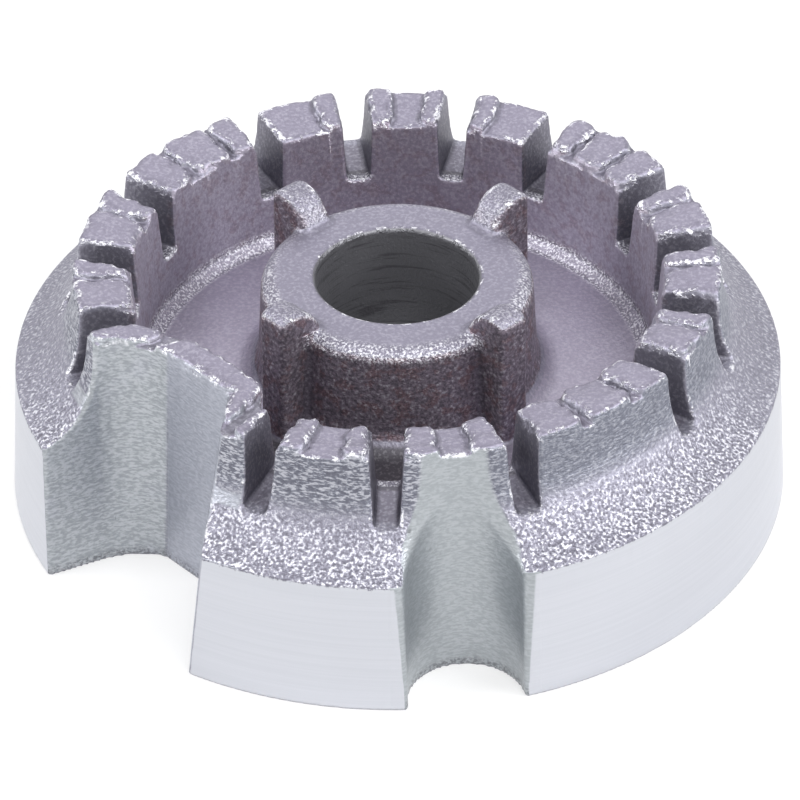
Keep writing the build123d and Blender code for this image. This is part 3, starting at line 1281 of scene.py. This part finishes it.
@dataclass
class Studio:
    """Pale floor, soft lamps and the camera, in metres."""

    target: Corner = (0.0, 0.0, 0.0)
    camera_place: Corner = (0.009212, -0.239783, 0.18241)
    heading: float = math.radians(2.2)
    tip: float = math.radians(36.41)
    roll: float = math.radians(-0.549)
    lens: float = 189.0
    sensor: float = 36.0
    shift: float = 0.0021
    nearest: float = 0.01
    floor_side: float = 4.0
    floor_grey: float = 0.9
    floor_white: float = 0.57
    floor_level: float = 0.45
    world_level: float = 0.3
    lamps: tuple[Lamp, ...] = (
        Lamp("front", (0.16, -0.34, 0.5), 0.28, 1.5),
        Lamp("right", (0.5, -0.12, 0.32), 0.3, 2.2),
        Lamp("left", (-0.5, -0.08, 0.36), 0.3, 2.2),
        Lamp("back", (0.0, 0.42, 0.4), 0.35, 0.6))

    def build(self) -> None:
        """Make the whole setting."""
        bpy.context.scene.view_settings.view_transform = "Standard"
        self.add_camera()
        self.add_floor()
        self.add_world()
        for lamp in self.lamps:
            lamp.build(self.target)

    def add_camera(self) -> None:
        """Place the camera where the photograph's stood."""
        data = bpy.data.cameras.new("camera")
        data.lens = self.lens
        data.sensor_width = self.sensor
        data.shift_x = self.shift
        data.clip_start = self.nearest
        camera = placed("camera", data)
        turn = Matrix.Rotation(self.heading, 4, "Z") @ Matrix.Rotation(math.pi / 2 - self.tip, 4, "X")
        turn = turn @ Matrix.Rotation(self.roll, 4, "Z")
        camera.matrix_world = Matrix.Translation(self.camera_place) @ turn
        bpy.context.scene.camera = camera

    def seen(self, graph: Graph) -> Value:
        """Tell which rays show the background.

        Args:
            graph: The material's or the world's nodes.

        Returns:
            1 for what the camera, a reflection or clear glass sees, else 0.
        """
        rays = graph.node("ShaderNodeLightPath")
        names = ("Is Camera Ray", "Is Glossy Ray", "Is Transmission Ray")
        camera, glossy, through = (Value(graph, rays.outputs[name]) for name in names)
        return camera.most(glossy).most(through)

    def add_floor(self) -> None:
        """Lay a floor that looks white and keeps the casting's shadow."""
        half = self.floor_side / 2
        mesh = bpy.data.meshes.new("floor")
        corners = [(-half, -half, 0.0), (half, -half, 0.0), (half, half, 0.0), (-half, half, 0.0)]
        mesh.from_pydata(corners, [], [(0, 1, 2, 3)])
        material, graph = new_material("pale_floor")
        plain, seen = (
            graph.node("ShaderNodeBsdfDiffuse", None, {"Color": (level, level, level, 1.0)})
            for level in (self.floor_grey, self.floor_level))
        glow = graph.node("ShaderNodeEmission", None, {"Color": WHITE, "Strength": self.floor_white})
        light = graph.node("ShaderNodeAddShader", None, {0: seen.outputs[0], 1: glow.outputs[0]})
        shader = graph.node(
            "ShaderNodeMixShader", None, {0: self.seen(graph), 1: plain.outputs[0], 2: light.outputs[0]})
        graph.node("ShaderNodeOutputMaterial", None, {"Surface": shader.outputs[0]})
        mesh.materials.append(material)
        floor = placed("floor", mesh)

    def add_world(self) -> None:
        """Surround the part with even light and show white behind it."""
        world = bpy.data.worlds.new("studio")
        bpy.context.scene.world = world
        world.use_nodes = True
        graph = Graph(world.node_tree)
        level = self.seen(graph) * (1.0 - self.world_level) + self.world_level
        back = graph.node("ShaderNodeBackground", None, {"Color": WHITE, "Strength": level})
        graph.node("ShaderNodeOutputWorld", None, {"Surface": back.outputs[0]})


def main() -> None:
    """Build the casting and the studio."""
    logging.basicConfig(level=logging.INFO)
    Casting().build()
    Studio().build()


if __name__ == "__main__":
    main()
